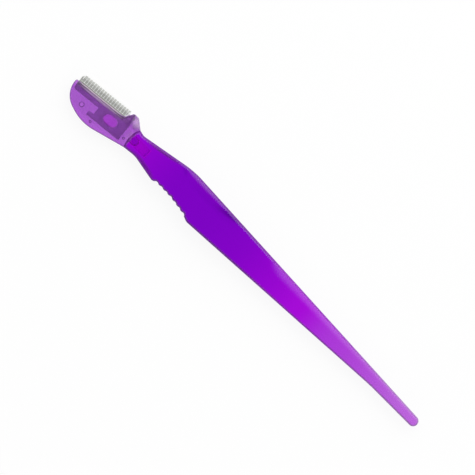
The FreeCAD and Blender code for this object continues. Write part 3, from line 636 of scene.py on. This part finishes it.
headPlastic = tintedPlastic("lilac_plastic_depth", {
    "tint": (0.655, 0.07, 0.845, 1), "density": 1000.0, "ior": 1.49,
    "clear": (1, 1, 1, 1), "pale": (0.97, 0.95, 0.98, 1),
    "stainsAndShade": [{"centre": (-58.5, -0.7, 3), "reach": (3.0, 2.0, 9), "turn": edgeAxes["tilt"], "soft": 0.35,
                "tone": (0.95, 0.6, 0.97, 1)},
               {"centre": (-48.6, 0.2, 3.4), "reach": (1.3, 1.3, 0.5), "soft": 0.3,
                "tone": (0.72, 0.8, 0.88, 1)},
               {"centre": (-65.0, 1.92, 3), "reach": (10, 0.24, 9), "turn": edgeAxes["tilt"], "soft": 0.6,
                "tone": (0.65, 0.5, 0.7, 1)}],
    # painted sheen: faintly over the blade, at the neck's far corner and in a thin band along the guard
    "paintedSheenAndShade": [{"centre": (-62.5, -0.9, 3), "reach": (13.5, 4.6, 9), "turn": edgeAxes["tilt"], "soft": 0.4,
                "share": 0.06, "tone": (0.75, 0.3, 1, 1)},
               {"centre": (-51.8, 4.8, 3), "reach": (3.2, 3.0, 9), "soft": 0.8, "share": 0.26,
                "tone": (0.95, 0.72, 1, 1)},
               {"centre": (-65.0, 1.45, 3), "reach": (10.5, 0.5, 9), "turn": edgeAxes["tilt"], "soft": 0.5,
                "share": 0.2, "tone": (0.9, 0.6, 1, 1)}],
    # frosted sides in painted colours: dark for the shade of the outlines, paler greys at the neck's far
    # corner and along the lip as painted highlight
    "frostAndEdgeShade": {"share": 0.8, "rough": 0.45, "shine": 0.1, "plain": (0.2, 0.07, 0.3, 1), "zones": [
        {"centre": (-51.8, 5.2, 3), "reach": (3.0, 3.0, 9), "soft": 0.6, "tone": (0.36, 0.24, 0.44, 1)},
        {"centre": (-50, -2, 3), "reach": (6, 4, 9), "soft": 0.6, "tone": (0.2, 0.05, 0.32, 1)},
        {"centre": (-65.5, 2.3, 3), "reach": (9.5, 0.8, 9), "turn": edgeAxes["tilt"], "soft": 0.3,
         "tone": (0.5, 0.4, 0.5, 1)}]},
    "rough": 0.03, "cloudScale": 140.0, "cloudRough": 0.05,
    "scratchScale": 60.0, "scratchStretch": (3, 45, 45), "scratchRough": 0.1,
    "flowScale": 160.0, "flowStretch": (0.5, 1, 1), "bump": 0.06, "bumpDepth": 0.02})


# One half of the head: a slab whose two chains leave the tip's round corner along the cutting edge's side
# and along the nose, stations closing up towards the tip. Its outer face falls at a steady slope to the
# lip along the edge, and as a square to the shoulder's tip.
def makeHeadHalf(name, look, isFront):
    steps = arcSteps["plan"]
    path = roundedPath(look["outline"], steps)
    tip = 1 + steps * (look["tipCorner"] - 1) + steps // 2
    shares = np.linspace(0, 1, look["stations"]) ** look["crowd"]
    far, near = alongPath(path[:tip + 1][::-1], shares), alongPath(path[tip:], shares)
    normals = outward(np.concatenate([far[::-1], near[1:]]))
    farNormal, nearNormal = normals[:len(far)][::-1], normals[len(far) - 1:]
    side = 1 if isFront else -1

    def mating(x, y):
        return np.full(x.shape, midHeight + side * look["gap"])

    def outer(x, y):
        u, v = toEdge(x, y)
        lip, shoulder = look["lip"], look["shoulder"]
        fall = softMax((v - lip["from"]) * math.tan(lip["slope"]), 0, lip["soften"])
        fall = fall * (1 - ease(u, *lip["fade"]))
        sink = np.clip((v - shoulder["from"]) / shoulder["reach"], 0, 1) ** 2 * ease(u, *shoulder["fade"])
        return midHeight + side * (look["thickness"] - fall - shoulder["drop"] * sink)

    underside, top = (mating, outer)[::side]
    rounds = (look["matingRound"], look["edgeRound"])[::side]
    columns = (1 - np.cos(np.linspace(0, np.pi, look["columns"]))) / 2
    grid, count, sideCount = slabShell(near, far, nearNormal, farNormal, underside, top, rounds, columns,
                                       turns=look["turns"])
    piece = makeObject(name, grid, shellFaces(grid, count, sideCount, -1))
    radius, flare, over = seam["radius"] + seam["gap"], seam["flare"], look["seamOver"]
    low, high = midHeight - look["thickness"], midHeight + look["thickness"]
    profile = [(radius + flare, low - over), (radius + flare, low), (radius, low + flare),
               (radius, high - flare), (radius + flare, high), (radius + flare, high + over)]
    carve(piece, turned("seam_tool", [(seam["centre"], profile)], turnSteps["seam"]))
    beyond = midHeight - side * look["seatOver"]
    for tool, outline, half in (("guard_seat_tool", guardOutline(look["fit"]), guard["half"]),
                                ("blade_seat_tool", bladeOutline(look["fit"]), blade["half"])):
        seatFloor = midHeight + side * (half + look["clamp"])
        carve(piece, edgePrism(tool, outline, min(beyond, seatFloor), max(beyond, seatFloor)))
    return piece


# Boss and pegs with their tops chamfered; the holes for them are the same forms, larger by the fit.
def bossAndPegs(name, look, fit, topLevel):
    chamfer = look["bossChamfer"]
    plain, inset = holeOutline(look["bossFit"] - fit), holeOutline(look["bossFit"] - fit + chamfer)
    boss = edgeStack(name + "_boss_tool", [plain, plain, inset], [look["foot"], topLevel - chamfer, topLevel])
    pegs = turned(name + "_peg_tool", [
        ((x, y), [(radius + fit, look["foot"]), (radius + fit, topLevel - cone),
                  (radius + fit - cone, topLevel)])
        for x, y, radius, cone in look["pegs"]])
    return boss, pegs


headBase = makeHeadHalf("head_base_moulding", head, False)
for tool in bossAndPegs("base", head, 0, head["pegTop"]):
    carve(headBase, tool, "UNION")
tang = head["tang"]
tangPoints, tangFaces = prism(roundedLoop(tang["side"][::-1], arcSteps["section"]),
                              -tang["halfWidth"], tang["halfWidth"])
tangPoints = np.c_[tangPoints[:, 0], tang["centre"] + tangPoints[:, 2], tangPoints[:, 1]]
carve(headBase, makeObject("tang_tool", tangPoints, tangFaces), "UNION")
# a shallow hollow in each of the tang's faces
relief = tang["relief"]
hollow = np.array([(relief["first"], -relief["half"]), (relief["last"], -relief["half"]),
                   (relief["last"], relief["half"]), (relief["first"], relief["half"])])
hollow = hollow + (0, tang["centre"])
carve(headBase, makeObject("relief_tool", *joinShells([
    prism(hollow, relief["low"] - relief["over"], relief["low"]),
    prism(hollow, relief["high"], relief["high"] + relief["over"])])))
stud = (head["stud"]["centre"], head["stud"]["profile"])
carve(headBase, turned("stud_tool", [stud], turnSteps["stud"]), "UNION")
dress(headBase, headPlastic, "head_base", "head", steep=(0.97, 0.8))

headCover = makeHeadHalf("head_cover_moulding", head, True)
for tool in bossAndPegs("cover", head, head["pegFit"], head["holeTop"]):
    carve(headCover, tool)
dress(headCover, headPlastic, "head_cover", "head", steep=(0.97, 0.8))

bladeSteel = groundSteel("blade_steel_ground", {
    "turn": edgeAxes["tilt"], "stretch": (4, 60, 1), "lineScale": 900.0, "wearScale": 260.0,
    "dark": (0.92, 0.92, 0.93, 1), "bright": (0.98, 0.98, 0.98, 1), "metal": 0.9, "spots": [],
    "rough": 0.85, "lineRough": 0.08, "wearRough": 0.1, "bump": 0.25, "bumpDepth": 0.004})
guardSteel = groundSteel("guard_steel_pressed", {
    "turn": edgeAxes["tilt"], "stretch": (60, 4, 1), "lineScale": 500.0, "wearScale": 300.0,
    "dark": (0.4, 0.41, 0.385, 1), "bright": (0.54, 0.55, 0.52, 1), "metal": 0.45,
    "spots": [{"centre": (-54.2, 3.8, 2.4), "reach": (2.3, 3.2, 9), "soft": 0.2,
               "tone": (0.97, 0.97, 0.97, 1)}],
    "rough": 0.32, "lineRough": 0.08, "wearRough": 0.08, "bump": 0.2, "bumpDepth": 0.004})


# Blade: its ground section along the edge, kept inside the stamped plan, with the oval hole cut out.
def makeBlade(look):
    half, land, foot = look["half"], look["land"], look["edge"] - look["bevel"]
    deep, run = look["deep"] - cutOver["side"], cutOver["run"]
    section = np.array([(deep, -half), (foot, -half), (look["edge"], -land), (look["edge"], land),
                        (foot, half), (deep, half)])
    piece = makeObject("blade_strip", *edgeSweep(section, look["start"] - run, look["end"] + run))
    carve(piece, edgePrism("blade_plan_tool", bladeOutline(), *cutOver["levels"]), "INTERSECT")
    return carve(piece, edgePrism("hole_tool", holeOutline(), *cutOver["levels"]))


# Guard: a sheet's folded section along the edge with a bead at its root, inside its plan, and a row of slots
# through the fold.
def makeGuard(look):
    half, inner, nose = look["half"], look["half"] - look["sheet"], look["nose"]
    fold, bends, bead = look["fold"], look["bends"], look["bead"]
    innerTip = look["tip"] - look["sheet"] - fold
    crown = ((bead["first"] + bead["last"]) / 2, half + bead["rise"], bends["bead"])
    folded = [(look["leg"], half), (bead["first"], half, bends["bead"]), crown,
              (bead["last"], half, bends["bead"]), (look["crease"], half, bends["crease"]),
              (look["tip"], nose, bends["tip"])]
    mirrored = [(corner[0], -corner[1], *corner[2:]) for corner in folded]
    outside = roundedPath(mirrored + folded[::-1], arcSteps["section"])
    inside = roundedPath([(look["leg"], inner), (look["crease"], inner, bends["inner"]), (innerTip, fold),
                          (innerTip, -fold), (look["crease"], -inner, bends["inner"]), (look["leg"], -inner)],
                         arcSteps["section"])
    section = np.concatenate([outside, inside])
    section = section[np.hypot(*(section - np.roll(section, 1, axis=0)).T) > samePoint]
    run = cutOver["run"]
    piece = makeObject("guard_comb", *edgeSweep(section, look["start"] - run, look["end"] + run))
    carve(piece, edgePrism("guard_plan_tool", guardOutline(), *cutOver["levels"]), "INTERSECT")
    slots = look["slots"]
    halfSlot, outer = slots["width"] / 2, slots["outer"]
    places = slots["first"] + slots["pitch"] * np.arange(slots["count"])
    box = np.array([(-halfSlot, slots["root"]), (halfSlot, slots["root"]),
                    (halfSlot, outer), (-halfSlot, outer)])
    comb = [prism(fromEdge(box + np.array((place, 0))), *cutOver["levels"]) for place in places]
    return carve(piece, makeObject("slot_tool", *joinShells(comb)))


dress(makeBlade(blade), bladeSteel, "blade", "head")
dress(makeGuard(guard), guardSteel, "skin_guard", "head")

# Floor just below the handle's back: seen directly it is mostly its own white, so only a soft shadow
# shows, and seen through plastic or in metal it is white.
floorLook = {"half": 4.0, "drop": 0.05, "white": 0.9, "shade": (0.9, 0.9, 0.9, 1)}
corners = np.array([(-1, -1, 0), (1, -1, 0), (1, 1, 0), (-1, 1, 0)]) * floorLook["half"] / mm
floor = makeObject("floor", corners - np.array((0, 0, floorLook["drop"])), [[0, 1, 2, 3]])
floorMaterial, tone = newMaterial("floor_paper")
ray = {kind: tone.add("ShaderNodeLightPath", out=kind)
       for kind in ("Is Camera Ray", "Is Glossy Ray", "Is Transmission Ray")}
seen = floorLook["white"] * ray["Is Camera Ray"]
white = tone.work("MAXIMUM", seen, tone.work("MAXIMUM", ray["Is Glossy Ray"], ray["Is Transmission Ray"]))
paper = tone.add("ShaderNodeBsdfDiffuse", {}, {"Color": floorLook["shade"]})
glow = tone.add("ShaderNodeEmission", {}, {"Color": (1, 1, 1, 1), "Strength": 1.0})
floorSurface = tone.add("ShaderNodeMixShader", {}, {0: white, 1: paper, 2: glow})
tone.add("ShaderNodeOutputMaterial", {}, {"Surface": floorSurface})
floor.data.materials.append(floorMaterial)

# Studio: a pale surround with a dark panel overhead that leans to the near side, and one softbox on the
# cutting edge's side.
studio = {"panel": {"level": 0.03, "lean": math.radians(22), "darkTo": math.radians(30),
                    "paleFrom": math.radians(47)},
          "surround": 1.35,
          "softbox": {"place": (-0.02, 0.85, 0.5), "size": (1.2, 0.8), "power": 5.0}}
world = bpy.data.worlds.new("studio")
world.use_nodes = True
world.node_tree.nodes.clear()
sky = Shade(world.node_tree)
panel = studio["panel"]
direction = sky.add("ShaderNodeTexCoord", out="Generated")
panelAxis = (0, -math.sin(panel["lean"]), math.cos(panel["lean"]))
towards = sky.add("ShaderNodeVectorMath", {"operation": "DOT_PRODUCT"}, {0: direction, 1: panelAxis},
                  out="Value")
dark = towards.rise(math.cos(panel["paleFrom"]), math.cos(panel["darkTo"]))
level = studio["surround"] - (studio["surround"] - panel["level"]) * dark
sky.add("ShaderNodeOutputWorld", {}, {"Surface": sky.add("ShaderNodeBackground", {}, {
    "Color": (1, 1, 1, 1), "Strength": level})})
scene.world = world

softbox = studio["softbox"]
lamp = bpy.data.lights.new("softbox", "AREA")
lamp.shape, lamp.size, lamp.size_y, lamp.energy = "RECTANGLE", *softbox["size"], softbox["power"]
lampObject = bpy.data.objects.new("softbox", lamp)
lampObject.location = softbox["place"]
lampObject.rotation_euler = (-lampObject.location).to_track_quat("-Z", "Y").to_euler()
scene.collection.objects.link(lampObject)
print("floor and light set")

# Camera: straight down on a long lens, turned an eighth so the razor lies from upper left to lower right.
shot = {"lens": 200.0, "sensor": 36.0, "centre": (-5.16, 1.64), "width": 146.9, "turn": math.radians(45),
        "clip": 0.01}
camera = bpy.data.cameras.new("camera")
camera.lens, camera.sensor_width, camera.clip_start = shot["lens"], shot["sensor"], shot["clip"]
cameraObject = bpy.data.objects.new("camera", camera)
distance = shot["width"] * shot["lens"] / shot["sensor"]
cameraObject.location = np.array((*shot["centre"], midHeight + distance)) * mm
cameraObject.rotation_euler = (0, 0, shot["turn"])
scene.collection.objects.link(cameraObject)
scene.camera = cameraObject
scene.view_settings.view_transform = "Standard"
